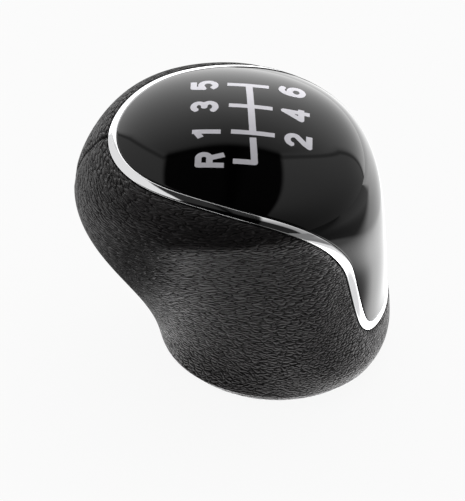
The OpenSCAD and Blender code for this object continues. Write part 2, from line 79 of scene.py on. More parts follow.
# Lever insert
# A turned brass nut moulded into the core, with an M10 x 1.25 thread that takes the gear lever.
# Its outside has a flange and two grooves that hold it in the plastic.
class Signal:
    """A number that changes over a surface: a socket that takes part in expressions."""

    def __init__(self, nodes, socket):
        self.nodes, self.socket = nodes, socket

    def maths(self, operation, *values):
        return self.nodes.node("ShaderNodeMath", {"operation": operation}, *values)

    def __add__(self, other):
        return self.maths("ADD", self, other)

    def __radd__(self, other):
        return self.maths("ADD", other, self)

    def __sub__(self, other):
        return self.maths("SUBTRACT", self, other)

    def __rsub__(self, other):
        return self.maths("SUBTRACT", other, self)

    def __mul__(self, other):
        return self.maths("MULTIPLY", self, other)

    def __rmul__(self, other):
        return self.maths("MULTIPLY", other, self)

    def __truediv__(self, other):
        return self.maths("DIVIDE", self, other)

    def __pow__(self, other):
        return self.maths("POWER", self, other)

    def root(self):
        return self.maths("SQRT", self)

    def at_least(self, value):
        return self.maths("MAXIMUM", self, value)

    def at_most(self, value):
        return self.maths("MINIMUM", self, value)

    def clamped(self):
        return self.at_least(0).at_most(1)

    def between(self, low, high):
        """0 below low, 1 above high, smooth in between."""
        share = ((self - low) / (high - low)).clamped()
        return share * share * (3 - 2 * share)


class Nodes:
    """Adds nodes to one node tree."""

    def __init__(self, tree):
        self.tree = tree

    def node(self, kind, settings, *values, output=0, **named):
        made = self.tree.nodes.new(kind)
        for name, value in settings.items():
            setattr(made, name, value)
        for key, value in [*enumerate(values), *named.items()]:
            socket = made.inputs[key]
            if isinstance(value, Signal):
                self.tree.links.new(value.socket, socket)
            else:
                socket.default_value = value
        return Signal(self, made.outputs[output])


class Finish(Nodes):
    """A material built node by node on a Principled shader."""

    def __init__(self, name, **settings):
        self.material = bpy.data.materials.new(name)
        self.material.use_nodes = True
        super().__init__(self.material.node_tree)
        self.shader = self.tree.nodes["Principled BSDF"]
        for setting, value in settings.items():
            socket = setting.replace("_", " ").title().replace("Ior", "IOR")
            self.shader.inputs[socket].default_value = value

    def place(self, size_mm=1.0, stretch=(1, 1, 1)):
        """Object coordinates, counted in lengths of size_mm."""
        where = self.node("ShaderNodeTexCoord", {}, output="Object")
        scale = tuple(1 / (MM * size_mm) * s for s in stretch)
        return self.node("ShaderNodeVectorMath", {"operation": "MULTIPLY"}, where, scale)

    def noise(self, size_mm, detail=2.0, rough=0.5, stretch=(1, 1, 1)):
        return self.node(
            "ShaderNodeTexNoise", {}, output="Fac",
            Vector=self.place(size_mm, stretch), Scale=1.0, Detail=detail, Roughness=rough,
        )

    def on_hide(self, across_mm, along_mm):
        """Place on the hide's own flat map, so that a grain follows the stretched leather."""
        flat = self.node("ShaderNodeUVMap", {"uv_map": "hide"}, output="UV")
        scale = (1 / (MM * across_mm), 1 / (MM * along_mm), 1)
        return self.node("ShaderNodeVectorMath", {"operation": "MULTIPLY"}, flat, scale)

    def hide_noise(self, across_mm, along_mm, detail=2.0, rough=0.5, output="Fac"):
        return self.node(
            "ShaderNodeTexNoise", {"noise_dimensions": "2D"}, output=output,
            Vector=self.on_hide(across_mm, along_mm), Scale=1.0, Detail=detail, Roughness=rough,
        )

    def drive(self, socket, signal):
        self.tree.links.new(signal.socket, self.shader.inputs[socket])

    def mottle(self, share, first, second):
        """Base colour that wanders from the first shade, at share 0, to the second, at 1."""
        mixed = self.node("ShaderNodeMix", {"data_type": "RGBA"}, share, output=2)
        mix = mixed.socket.node
        mix.inputs[6].default_value = first
        mix.inputs[7].default_value = second
        self.drive("Base Color", mixed)

    def bump(self, height, depth_mm):
        self.drive("Normal", self.node(
            "ShaderNodeBump", {}, output="Normal",
            Height=height, Distance=depth_mm * MM, Strength=1.0,
        ))

    def cover(self, share, shader):
        """Lets another shader take over where share is 1."""
        mixed = self.node("ShaderNodeMixShader", {}, share)
        mixer = mixed.socket.node
        self.tree.links.new(self.shader.outputs["BSDF"], mixer.inputs[1])
        self.tree.links.new(shader.socket, mixer.inputs[2])
        self.tree.links.new(mixed.socket, self.tree.nodes["Material Output"].inputs["Surface"])


def put_on(piece, finish):
    piece.data.materials.clear()
    piece.data.materials.append(finish.material)


SHARP_ABOVE = math.radians(38)


def smooth_piece(name, bm):
    """Turns a bmesh into a piece that rides on the part, smooth but for its sharp edges."""
    bmesh.ops.recalc_face_normals(bm, faces=bm.faces)
    for edge in bm.edges:
        edge.smooth = len(edge.link_faces) == 2 and edge.calc_face_angle() < SHARP_ABOVE
    for face in bm.faces:
        face.smooth = True
    mesh = bpy.data.meshes.new(name)
    bm.to_mesh(mesh)
    bm.free()
    piece = bpy.data.objects.new(name, mesh)
    bpy.context.scene.collection.objects.link(piece)
    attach(piece, "root")
    return piece


def laid_grid(points, flat=None):
    """A bmesh grid bent to a tube: its corners go to points[column][row], and its last column
    on the first. With flat it gets a UV map, in which the last column has its own place."""
    columns, rows = points.shape[:2]
    bm = bmesh.new()
    bmesh.ops.create_grid(bm, x_segments=columns, y_segments=rows - 1, size=1)
    bm.verts.index_update()
    places = {}
    for corner in bm.verts:
        column = round((corner.co.x + 1) / 2 * columns)
        row = round((corner.co.y + 1) / 2 * (rows - 1))
        places[corner.index] = column, row
        corner.co = points[column % columns, row]
    if flat is not None:
        layer = bm.loops.layers.uv.new("hide")
        for face in bm.faces:
            for loop in face.loops:
                loop[layer].uv = flat[places[loop.vert.index]]
    return bm


def weld(bm, within_mm):
    bmesh.ops.remove_doubles(bm, verts=bm.verts, dist=within_mm * MM)


THREAD_MINOR, THREAD_MAJOR, THREAD_PITCH = 4.35, 5.0, 1.25
PLAIN_END, THREAD_FADE = 1.2, 0.8
BORE_DEPTH, BORE_CHAMFER = 19, 0.3
INSERT_LENGTH = 22
FLANGE_RADIUS, FLANGE_THICK = 7.6, 1.2
BARREL_RADIUS = 6.5
GROOVE_RADIUS, GROOVE_WIDTH = 5.8, 1.6
GROOVE_LEVELS = (7.067, 14.533)
BORE_STEPS, TURN_STEPS = 241, 64
INSERT_WELD = 0.002

bore_levels = np.linspace(BORE_CHAMFER, BORE_DEPTH, BORE_STEPS)
bore_angles = np.linspace(0, 2 * math.pi, TURN_STEPS, endpoint=False)
phase = bore_levels[None, :] / THREAD_PITCH - bore_angles[:, None] / (2 * math.pi)
groove = np.abs(2 * (phase - np.floor(phase + 0.5)))
from_ends = np.minimum(bore_levels - PLAIN_END, BORE_DEPTH - PLAIN_END - bore_levels)
fade = np.clip(from_ends / THREAD_FADE, 0, 1)
thread_radius = THREAD_MINOR + (THREAD_MAJOR - THREAD_MINOR) * groove * fade[None, :]
thread_wall = np.stack([
    thread_radius * np.sin(bore_angles)[:, None],
    thread_radius * np.cos(bore_angles)[:, None],
    np.broadcast_to(bore_levels, thread_radius.shape),
], -1)
bm = laid_grid(thread_wall * MM)

outline = [
    (THREAD_MINOR, BORE_CHAMFER), (THREAD_MINOR + BORE_CHAMFER, 0),
    (FLANGE_RADIUS, 0), (FLANGE_RADIUS, FLANGE_THICK), (BARREL_RADIUS, FLANGE_THICK),
]
for low in GROOVE_LEVELS:
    high = low + GROOVE_WIDTH
    outline += [(BARREL_RADIUS, low), (GROOVE_RADIUS, low)]
    outline += [(GROOVE_RADIUS, high), (BARREL_RADIUS, high)]
outline += [(BARREL_RADIUS, INSERT_LENGTH), (0, INSERT_LENGTH)]
chain = [bm.verts.new((0, radius * MM, level * MM)) for radius, level in outline]
bottom = [bm.verts.new((0, radius * MM, BORE_DEPTH * MM)) for radius in (THREAD_MINOR, 0)]
edges = [bm.edges.new(pair) for pair in zip(chain, chain[1:])]
edges.append(bm.edges.new(bottom))
bmesh.ops.spin(
    bm, geom=chain + bottom + edges, cent=(0, 0, 0), axis=(0, 0, 1),
    angle=2 * math.pi, steps=TURN_STEPS, use_merge=True,
)
weld(bm, INSERT_WELD)
insert_piece = smooth_piece("insert_threaded", bm)
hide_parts("lever_insert")

BRASS_PALE, BRASS_DEEP = (0.62, 0.42, 0.17, 1), (0.5, 0.33, 0.13, 1)
brass = Finish("turned_brass", base_color=(0.6, 0.4, 0.16, 1), metallic=1.0, roughness=0.32)
brass.bump(brass.noise(0.25, stretch=(0.05, 0.05, 1)), 0.01)
brass.drive("Roughness", 0.28 + 0.1 * brass.noise(3))
brass.mottle(brass.noise(4, 3), BRASS_PALE, BRASS_DEEP)
put_on(insert_piece, brass)


# Core
# The moulded body under the leather: a wall with a ledge, a floor, a boss and ribs.
# Black filled nylon with a fine spark-eroded surface, moulded round the insert.
NYLON_BLACK, NYLON_GREY = (0.045, 0.045, 0.05, 1), (0.06, 0.06, 0.064, 1)
nylon = Finish("core_nylon", base_color=NYLON_BLACK, roughness=0.55)
nylon.mottle(nylon.noise(6, 3), NYLON_BLACK, NYLON_GREY)
nylon.drive("Roughness", 0.5 + 0.14 * nylon.noise(2.5))
nylon.bump(nylon.noise(0.22, 3), 0.02)
put_on(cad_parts["core"], nylon)


# Leather cover
# Black grained leather, about 1.3 mm thick, wetted and drawn over the core, glued down,
# turned in under the foot and beside the ring, and closed by a seam on the front midline.
UNDERSIDE = -5
FOOT_RADIUS, FOOT_ROUND, HEM_RADIUS = 24.2, 2.0, 18.2
LEATHER_THICK = 1.3
SQUARENESS = 0.05
# Sections of the body: level above the underside, front, rear and side reach, egg share
SECTIONS = [
    (FOOT_ROUND, FOOT_RADIUS, FOOT_RADIUS, FOOT_RADIUS, 0),
    (6.3, 26, 25.3, 23.2, -0.14),
    (12.8, 30, 24, 22.3, -0.18),
    (20.5, 35.8, 23.2, 22.4, -0.13),
    (29.3, 40.7, 21.9, 23.8, -0.02),
    (38, 42.6, 20.5, 26.1, 0),
    (46.2, 39, 17.6, 28.8, 0.05),
    (51.8, 30.6, 10.6, 22.3, 0),
    (55.2, 10, -10, 0, 0),
]
# Course of the trim ring: angle from the rear midline, level above the underside
COURSE = [
    (0, 12.8), (18, 13.4), (28, 14), (37.5, 16.5), (41, 29.2), (44.5, 34.8),
    (59, 46.8), (84, 50.5), (115, 51.4), (150, 50.6), (180, 49.6),
]
TOP_ROW = len(SECTIONS) - 1
SPANS = len(COURSE) - 1
PAST_TOP = (1, 1, -1, -1, 1)
MIRRORED = (-1, 1)


def pulled(before, point, after):
    """Control point that brings the spline back to the point itself, but for a trace."""
    return 2 * point - (before + 4 * point + after) / 6


body_rows = np.array([
    (UNDERSIDE + level, (front - rear) / 2, (front + rear) / 2, side, side * egg)
    for level, front, rear, side, egg in SECTIONS
])
rows_and_past = [*body_rows, body_rows[TOP_ROW - 1] * PAST_TOP]
inner_controls = [pulled(*rows_and_past[i - 1:i + 2]) for i in range(1, TOP_ROW + 1)]
body_controls = np.array([
    2 * body_rows[0] - inner_controls[0], body_rows[0], *inner_controls,
    inner_controls[-2] * PAST_TOP,
])
course_points = np.array(COURSE, float) + (0, UNDERSIDE)
course_line = [
    *(course_points[i] * MIRRORED for i in (2, 1)), *course_points,
    *((360, 0) + course_points[i] * MIRRORED for i in (-2, -3)),
]
course_controls = np.array([
    pulled(*course_line[i - 1:i + 2]) for i in range(1, len(course_line) - 1)])


def on_spline(controls, t):
    """Cubic B-spline of the controls, with a whole number at each joint of its spans."""
    t = np.asarray(t, float)
    i = np.clip(np.floor(t).astype(int), 0, len(controls) - 4)
    u = (t - i)[..., None]
    v = 1 - u
    return (
        v**3 * controls[i] + (3 * u**3 - 6 * u**2 + 4) * controls[i + 1]
        + (3 * v**3 - 6 * v**2 + 4) * controls[i + 2] + u**3 * controls[i + 3]
    ) / 6


def skin(t, a):
    """Point of the outer skin at section row t and angle a, in millimetres."""
    level, shift, half_length, half_width, egg = np.moveaxis(on_spline(body_controls, t), -1, 0)
    c, s = np.cos(np.radians(a)), np.sin(np.radians(a))
    return np.stack([
        s * (half_width * (1 + SQUARENESS * c * c) - egg * c),
        shift - half_length * c * (1 + SQUARENESS * s * s),
        level + 0 * c,
    ], -1)


ROW_STEP = 0.02
FLAT_TOP = 0.03
NO_LENGTH = 1e-12


def skin_slopes(t, a):
    """How the skin runs on per degree and per row."""
    low, high = np.maximum(t - ROW_STEP, 0), np.minimum(t + ROW_STEP, TOP_ROW)
    along_t = (skin(high, a) - skin(low, a)) / (high - low)[..., None]
    return skin(t, a + 0.5) - skin(t, a - 0.5), along_t


def unit(v):
    return v / np.linalg.norm(v, axis=-1, keepdims=True)


def outward(t, a):
    """Normal of the skin, which is straight up at the very top."""
    normal = unit(np.cross(*skin_slopes(t, a)) + NO_LENGTH)
    return np.where((t > TOP_ROW - FLAT_TOP)[..., None], np.array([0.0, 0.0, 1.0]), normal)


def inset(t, a, depth):
    return skin(t, a) - np.asarray(depth)[..., None] * outward(t, a)


row_table = np.linspace(0, TOP_ROW, 3000)
level_table = on_spline(body_controls, row_table)[:, 0]


def station(s):
    """Angle and row of the ring at s, which counts the spans from the rear midline."""
    s = np.asarray(s, float) % (2 * SPANS)
    near = on_spline(course_controls, np.minimum(s, 2 * SPANS - s))
    angle = np.where(s <= SPANS, near[..., 0], 360 - near[..., 0])
    return angle, np.interp(near[..., 1], level_table, row_table)


def beside_ring(s, b):
    """Angle and row of the place b millimetres from the ring's centre line, towards the cap."""
    angle, row = station(s)
    ahead, behind = skin(*station(s + 0.25)[::-1]), skin(*station(s - 0.25)[::-1])
    step = b * np.cross(outward(row, angle), unit(ahead - behind))
    # The step is made up of a turn and of rows, which don't stand square to each other
    along_a, along_t = skin_slopes(row, angle)
    e, f, g = (np.sum(x * y, -1) for x, y in (
        (along_a, along_a), (along_a, along_t), (along_t, along_t)))
    p, q = np.sum(step * along_a, -1), np.sum(step * along_t, -1)
    det = e * g - f * f
    return angle + (g * p - f * q) / det, row + (e * q - f * p) / det


def at_ring(s, b, n):
    """Point b millimetres beside the ring's centre line and n millimetres out of the skin."""
    angle, row = beside_ring(s, b)
    return inset(row, angle, -n)


RING_HALF = 1.0
SKIN_EDGE = 1.12
TUCK_ROUND = 0.55
ROLL_HEIGHT, ROLL_REACH = 0.16, 0.9
HEM_STEPS = (HEM_RADIUS, 19.5, 21.2)
QUARTER_TURN = (15, 30, 45, 60, 75, 90)
LEATHER_COLUMNS = 560
CLOSER_AT_SEAM = 0.55
BODY_STEPS, LINING_STEPS = 85, 30

from_seam = np.arange(LEATHER_COLUMNS + 1) / LEATHER_COLUMNS
from_seam = from_seam - CLOSER_AT_SEAM * np.sin(2 * math.pi * from_seam) / (2 * math.pi)
turns_round = (from_seam[:-1] + 0.5) % 1
stations = 2 * SPANS * turns_round
foot_angles = 360 * turns_round
foot_out = np.stack([
    np.sin(np.radians(foot_angles)), -np.cos(np.radians(foot_angles)), 0 * foot_angles], -1)


def below_ring(k):
    """Angle and row of the leather's columns, from the foot at k = 0 to the ring at 1."""
    angle, row = beside_ring(stations, -SKIN_EDGE - TUCK_ROUND)
    turn = (angle - foot_angles + 540) % 360 - 180
    return foot_angles + turn * k, row * k


def foot_arc(radius, turn):
    reach = FOOT_RADIUS - FOOT_ROUND + radius * math.cos(math.radians(turn))
    drop = radius * math.sin(math.radians(turn))
    return reach * foot_out + (0, 0, UNDERSIDE + FOOT_ROUND - drop)


profile = [radius * foot_out + (0, 0, UNDERSIDE) for radius in HEM_STEPS]
profile += [foot_arc(FOOT_ROUND, turn) for turn in reversed(QUARTER_TURN)]
outer_start = len(profile)
at_roll = skin(*below_ring(1)[::-1])
for k in np.linspace(0, 1, BODY_STEPS):
    angle, row = below_ring(k)
    from_roll = np.linalg.norm(skin(row, angle) - at_roll, axis=-1) / ROLL_REACH
    profile.append(inset(row, angle, -ROLL_HEIGHT * from_roll * np.exp(1 - from_roll)))
for turn in np.radians(QUARTER_TURN):
    beside = -SKIN_EDGE - TUCK_ROUND * (1 - math.sin(turn))
    profile.append(at_ring(stations, beside, -TUCK_ROUND * (1 - math.cos(turn))))
outer_end = len(profile)
profile.append(at_ring(stations, -SKIN_EDGE, -LEATHER_THICK))
for k in np.linspace(1, 0, LINING_STEPS):
    angle, row = below_ring(k)
    profile.append(inset(row, angle, LEATHER_THICK))
profile += [foot_arc(FOOT_ROUND - LEATHER_THICK, turn) for turn in (30, 60, 90)]
profile.append(HEM_RADIUS * foot_out + (0, 0, UNDERSIDE + LEATHER_THICK))
leather_points = np.stack(profile, 1)

# The seam on the front midline: a fine groove in a shallow valley, puckered on both sides
GROOVE_DEPTH, GROOVE_HALF = 0.65, 0.28
VALLEY_DEPTH, VALLEY_HALF = 0.22, 1.6
PUCKER_DEPTH, PUCKER_HALF, PUCKER_BESIDE = 0.07, 0.9, 1.3
PUCKER_PITCH, PUCKER_SLANT = 3.1, 0.4
SEAM_FORWARD_OF = 8
BODY_MIDDLE = (0, 4, 22)
outer = leather_points[:, outer_start:outer_end]
beside, forward, level = np.moveaxis(outer, -1, 0)
pucker = np.sin((level + PUCKER_SLANT * forward) * 2 * math.pi / PUCKER_PITCH)
pucker *= np.exp(-(((np.abs(beside) - PUCKER_BESIDE) / PUCKER_HALF) ** 2))
seam = (
    -GROOVE_DEPTH * np.exp(-((beside / GROOVE_HALF) ** 2))
    - VALLEY_DEPTH * np.exp(-((beside / VALLEY_HALF) ** 2)) - PUCKER_DEPTH * pucker)
seam *= forward > SEAM_FORWARD_OF
outer += seam[..., None] * unit(outer - BODY_MIDDLE)

# The flat map of the hide: the way round from the seam, and the way along the profile
HIDE_WIDTH = 165
LEATHER_WELD = 0.0005
profile_closed = np.concatenate([leather_points, leather_points[:, :1]], 1)
steps = np.linalg.norm(np.diff(profile_closed, axis=1), axis=-1)
along_hide = np.concatenate([np.zeros((LEATHER_COLUMNS, 1)), np.cumsum(steps, 1)], 1)
along_hide = np.concatenate([along_hide, along_hide[:1]])
across_hide = np.broadcast_to(HIDE_WIDTH * from_seam[:, None], along_hide.shape)
bm = laid_grid(profile_closed * MM, flat=np.stack([across_hide, along_hide], -1) * MM)
weld(bm, LEATHER_WELD)
leather_piece = smooth_piece("leather_wrap", bm)
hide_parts("leather_cover")

LEATHER_DEEP, LEATHER_PALE = (0.003, 0.0027, 0.0028, 1), (0.012, 0.0108, 0.0112, 1)
# Painted shade: the near-black colour that darkens the creases
CREASE_SHADE_BLACK = (0.002, 0.0018, 0.0018, 1)
GRAIN_ACROSS, GRAIN_ALONG, GRAIN_DEPTH = 1.35, 0.66, 0.5
GRAIN_BEND = (1.1, 1.1, 0)
leather = Finish(
    "black_leather", base_color=(0.01, 0.009, 0.0095, 1), roughness=0.4, ior=1.35,
    specular_tint=(1, 0.955, 0.965, 1),
)
swell = leather.hide_noise(2.6, 1.4)
fine = leather.hide_noise(0.5, 0.3, rough=0.6)
large = leather.noise(9)
bent = leather.node(
    "ShaderNodeVectorMath", {"operation": "MULTIPLY_ADD"},
    leather.hide_noise(1.8, 1.1, output="Color"), GRAIN_BEND,
    leather.on_hide(GRAIN_ACROSS, GRAIN_ALONG),
)
from_crease = leather.node(
    "ShaderNodeTexVoronoi", {"voronoi_dimensions": "2D", "feature": "DISTANCE_TO_EDGE"},
    output="Distance", Vector=bent, Scale=1.0, Randomness=1.0,
)
open_here = leather.hide_noise(2.2, 1.2, 1.5).between(0.36, 0.58)
# Where the creases are, for their roughness and for their painted shade
crease_and_painted_shade = (1 - from_crease.between(0.0, 0.15)) * (0.25 + 0.75 * open_here)
leather.bump(from_crease.between(0.0, 0.4) * 0.55 + swell * 0.5 + fine * 0.25, GRAIN_DEPTH)
leather.mottle((fine * 0.5 + large * 0.6).clamped(), LEATHER_DEEP, LEATHER_PALE)
leather.drive("Roughness", 0.36 + 0.1 * crease_and_painted_shade + 0.06 * large)
# Painted shade: the bottom of each crease is covered by a near-black, dull shader that stands in
# for the shade that falls into it
painted_crease_shade = leather.node("ShaderNodeBsdfPrincipled", {}, CREASE_SHADE_BLACK, Roughness=0.8, IOR=1.1)
leather.cover(crease_and_painted_shade * 0.85, painted_crease_shade)
put_on(leather_piece, leather)


# Trim ring
# One closed band of bright chromed plastic with a crowned face and eight pegs behind it.
# It is pressed into the groove between the leather and the cap.
BAND_CROWN, BAND_FALL = 0.05, 0.06
BAND_ROUND = 0.3
BAND_SIDE, BAND_ROOT = -0.5, -1.4
PEG_STATIONS = (0.5, 5.5, 7.5, 9.5)
PEG_LENGTH, PEG_MIDDLE = 3.4, 2.9
PEG_TIP_RADIUS, PEG_ROOT_RADIUS = 0.65, 0.75
RING_COLUMNS = 640
RING_WELD = 0.0005

ring_stations = np.arange(RING_COLUMNS) * 2 * SPANS / RING_COLUMNS
face_half = RING_HALF - BAND_ROUND
shoulder = [
    (RING_HALF - BAND_ROUND * (1 - math.cos(v)),
     BAND_CROWN - BAND_FALL - BAND_ROUND * (1 - math.sin(v)))
    for v in np.radians((0, *QUARTER_TURN))
]
crown = [
    (b, BAND_CROWN - BAND_FALL * (b / face_half) ** 2) for b in (-0.5, -0.25, 0.0, 0.25, 0.5)]
section = [
    (-RING_HALF, BAND_ROOT), (-RING_HALF, BAND_SIDE), *((-b, n) for b, n in shoulder),
    *crown, *reversed(shoulder), (RING_HALF, BAND_SIDE), (RING_HALF, BAND_ROOT),
]
ring_points = np.stack([at_ring(ring_stations, b, n) for b, n in section + section[:1]], 1)
bm = laid_grid(ring_points * MM)
weld(bm, RING_WELD)
for span in (*PEG_STATIONS, *(-s for s in PEG_STATIONS)):
    angle, row = station(np.array([span]))
    foot, normal = skin(row, angle)[0], outward(row, angle)[0]
    turn = Vector(normal).to_track_quat("Z", "Y").to_matrix().to_4x4()
    middle = Vector(foot - normal * PEG_MIDDLE)
    bmesh.ops.create_cone(
        bm, cap_ends=True, segments=24, depth=PEG_LENGTH * MM,
        radius1=PEG_TIP_RADIUS * MM, radius2=PEG_ROOT_RADIUS * MM,
        matrix=Matrix.Translation(middle * MM) @ turn,
    )
ring_piece = smooth_piece("trim_band", bm)
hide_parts("trim_ring")

chrome = Finish("bright_chrome", base_color=(0.93, 0.93, 0.94, 1), metallic=1.0, roughness=0.06)
chrome.drive("Roughness", 0.04 + 0.05 * chrome.noise(5, 3))
chrome.bump(chrome.noise(1.6), 0.004)
put_on(ring_piece, chrome)


# Gloss cap
# Dome and tongue in one moulded shell, sprayed and polished piano black.
# Its lip sits inside the core's edge; the outer edge is slightly rounded.
CAP_WALL = 2.4
CAP_EDGE, CAP_EDGE_ROUND = 1.06, 0.22
RIM_DEPTH, SEAT_DEPTH, LIP_DEPTH = 0.8, 1.4, 3.35
LIP_OUTER, LIP_INNER = 2.37, 3.47
INNER_SHARES = (0.97, 0.8, 0.6, 0.4, 0.2, 0.0)
DOME_STEPS, DOME_END = 90, 0.985
CAP_COLUMNS = 480
CAP_WELD = 0.0002

cap_stations = np.arange(CAP_COLUMNS) * 2 * SPANS / CAP_COLUMNS
even_angles = 360 * cap_stations / (2 * SPANS)


def cap_place(k, edge):
    """Angle and row of the cap's columns, from its edge at k = 0 to the top at 1."""
    angle, row = beside_ring(cap_stations, edge)
    turn = (even_angles - angle + 540) % 360 - 180
    return angle + turn * k * k, row + (TOP_ROW - row) * k


cap_profile = []
for k in INNER_SHARES:
    angle, row = cap_place(k, LIP_INNER)
    cap_profile.append(inset(row, angle, CAP_WALL))
rim = [
    (LIP_INNER, -LIP_DEPTH), (LIP_OUTER, -LIP_DEPTH), (LIP_OUTER, -SEAT_DEPTH),
    (CAP_EDGE, -SEAT_DEPTH), (CAP_EDGE, -RIM_DEPTH),
]
rim += [
    (CAP_EDGE + CAP_EDGE_ROUND * (1 - math.cos(v)), -CAP_EDGE_ROUND * (1 - math.sin(v)))
    for v in np.radians((0, *QUARTER_TURN[:-1]))
]
cap_profile += [at_ring(cap_stations, b, n) for b, n in rim]
for k in np.linspace(0, DOME_END, DOME_STEPS):
    angle, row = cap_place(k, CAP_EDGE + CAP_EDGE_ROUND)
    cap_profile.append(skin(row, angle))
bm = laid_grid(np.stack(cap_profile, 1) * MM)
weld(bm, CAP_WELD)

# The dome and its inside are each closed by a fan of faces round a middle point
bmesh.ops.holes_fill(bm, edges=[edge for edge in bm.edges if edge.is_boundary], sides=0)
top = Vector(skin(np.array([TOP_ROW - 1e-6]), np.array([0.0]))[0]) * MM
under_top = top - Vector((0, 0, CAP_WALL * MM))
for lid in [face for face in bm.faces if len(face.verts) > 4]:
    is_outer = lid.calc_center_median().z > (top.z + under_top.z) / 2
    for middle in bmesh.ops.poke(bm, faces=[lid])["verts"]:
        middle.co = top if is_outer else under_top
cap_piece = smooth_piece("cap_shell", bm)
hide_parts("gloss_cap")

LACQUER_DEEP, LACQUER_PALE = (0.0005, 0.0005, 0.0006, 1), (0.0009, 0.0008, 0.0009, 1)
lacquer = Finish(
    "piano_black", base_color=(0.0006, 0.0006, 0.0007, 1), roughness=0.03, ior=1.36,
)
lacquer.drive("Roughness", 0.025 + 0.02 * lacquer.noise(12))
lacquer.mottle(lacquer.noise(20), LACQUER_DEEP, LACQUER_PALE)
put_on(cap_piece, lacquer)


# Shift pattern
# Pad-printed light grey ink on the dome: the gate of a six-speed gearbox with its numbers.
# The layer is a few hundredths of a millimetre thick and lies on the lacquer.
INK_LIFT = 0.03
HALF_WIDTH, HALF_HEIGHT, SIGN_STROKE = 1.45, 2.2, 1.28
# Places of the signs and centre lines of the gate, across the car and forward, with widths
SIGN_PLACES = {
    "5": (12.75, 17.15), "3": (4.45, 16.9), "1": (-4.25, 16.25), "R": (-11.9, 15.3),
    "6": (12.95, -0.87), "4": (4.4, -1.6), "2": (-4.1, -2.15),
}
GATE = [
    ([(13.35, 3.95), (13.35, 12.5)], 1.3),
    ([(5.05, 3.15), (5.05, 12.0)], 1.3),
    ([(-3.7, 2.6), (-3.7, 11.35)], 1.3),
    ([(13.35, 8.05), (-3.7, 7.0)], 1.4),
    ([(-5.1, 6.95), (-12.1, 6.45), (-12.1, 10.7)], 1.35),
]


def arc(x, y, width, height, start, end, steps=14):
    turns = np.radians(np.linspace(start, end, steps))
    return [(x + width * math.cos(v), y + height * math.sin(v)) for v in turns]


# Centre lines of the printed signs, in half widths and half heights of a digit
SIGNS = {
    "1": [[(0.28, -1.3), (0.28, 1.28)], [(0.5, 1.02), (-0.98, 0.46)]],
    "2": [arc(0, 0.42, 0.98, 0.58, 172, -28) + [(-0.55, -0.62), (-0.98, -1), (1.28, -1)]],
    "3": [arc(-0.05, 0.5, 0.9, 0.5, 160, -90) + arc(-0.05, -0.48, 1.02, 0.52, 90, -160)],
    "4": [[(0.52, -1.3), (0.52, 1.1), (-1.14, -0.5), (1.35, -0.5)]],
    "5": [[(0.98, 1), (-0.76, 1), (-0.9, 0.08)] + arc(0.0, -0.36, 1.0, 0.66, 122, -150)],
    "6": [arc(0, -0.38, 1, 0.62, 180, -180, 24), arc(0.3, -0.3, 1.3, 1.3, 180, 55)],
    "R": [[(-0.98, -1.3), (-0.98, 1)] + arc(0.35, 0.5, 0.62, 0.5, 90, -90) + [(-0.98, 0)],
          [(0.3, 0), (0.98, -1.3)]],
}
lines = list(GATE)
for sign, (across, forward) in SIGN_PLACES.items():
    for path in SIGNS[sign]:
        placed = [(across + x * HALF_WIDTH, forward + y * HALF_HEIGHT) for x, y in path]
        lines.append((placed, SIGN_STROKE))

STROKE_STEP, JOINT_SIDES = 0.5, 20
PLAN_ACROSS, PLAN_FORWARD, PLAN_STEP = (-16, 17.1), (-6, 21.1), 0.7
SAME_POINT = 1e-4
corners, outlines = [], []


def add_outline(points):
    outlines.append(list(range(len(corners), len(corners) + len(points))))
    corners.extend(Vector(p) for p in points)


for path, width in lines:
    for start, end in zip(path, path[1:]):
        start, end = Vector(start), Vector(end)
        side = (end - start).normalized().orthogonal() * width / 2
        cuts = max(2, math.ceil((end - start).length / STROKE_STEP) + 1)
        way = [start.lerp(end, cut) for cut in np.linspace(0, 1, cuts)]
        add_outline([p - side for p in way] + [p + side for p in reversed(way)])
    for x, y in path[1:-1]:
        add_outline(arc(x, y, width / 2, width / 2, 0, 360, JOINT_SIDES + 1)[:-1])
for x in np.arange(*PLAN_ACROSS, PLAN_STEP):
    for y in np.arange(*PLAN_FORWARD, PLAN_STEP):
        corners.append(Vector((x, y)))
plan, _, triangles, _, _, made_from = delaunay_2d_cdt(corners, [], outlines, 1, SAME_POINT)

START_ROW, LOWEST_ROW, HIGHEST_ROW, DOME_MIDDLE = 7.4, 5.5, TOP_ROW - 0.01, 10
DOME_TRIES, MOST_TURN, MOST_ROWS, SMALLEST_DET = 25, 20, 0.3, 1e-6


def dome_level(x, y):
    """Height of the dome over points of the plan, found by stepping row and angle."""
    t, a = np.full(x.shape, START_ROW), np.degrees(np.arctan2(x, -(y - DOME_MIDDLE)))
    for _ in range(DOME_TRIES):
        here = skin(t, a)
        along_a, along_t = skin_slopes(t, a)
        det = along_a[:, 0] * along_t[:, 1] - along_a[:, 1] * along_t[:, 0]
        det = np.where(np.abs(det) < SMALLEST_DET, SMALLEST_DET, det)
        dx, dy = x - here[:, 0], y - here[:, 1]
        a_step = (dx * along_t[:, 1] - dy * along_t[:, 0]) / det
        t_step = (along_a[:, 0] * dy - along_a[:, 1] * dx) / det
        a = a + np.clip(a_step, -MOST_TURN, MOST_TURN)
        t = np.clip(t + np.clip(t_step, -MOST_ROWS, MOST_ROWS), LOWEST_ROW, HIGHEST_ROW)
    return skin(t, a)[:, 2]


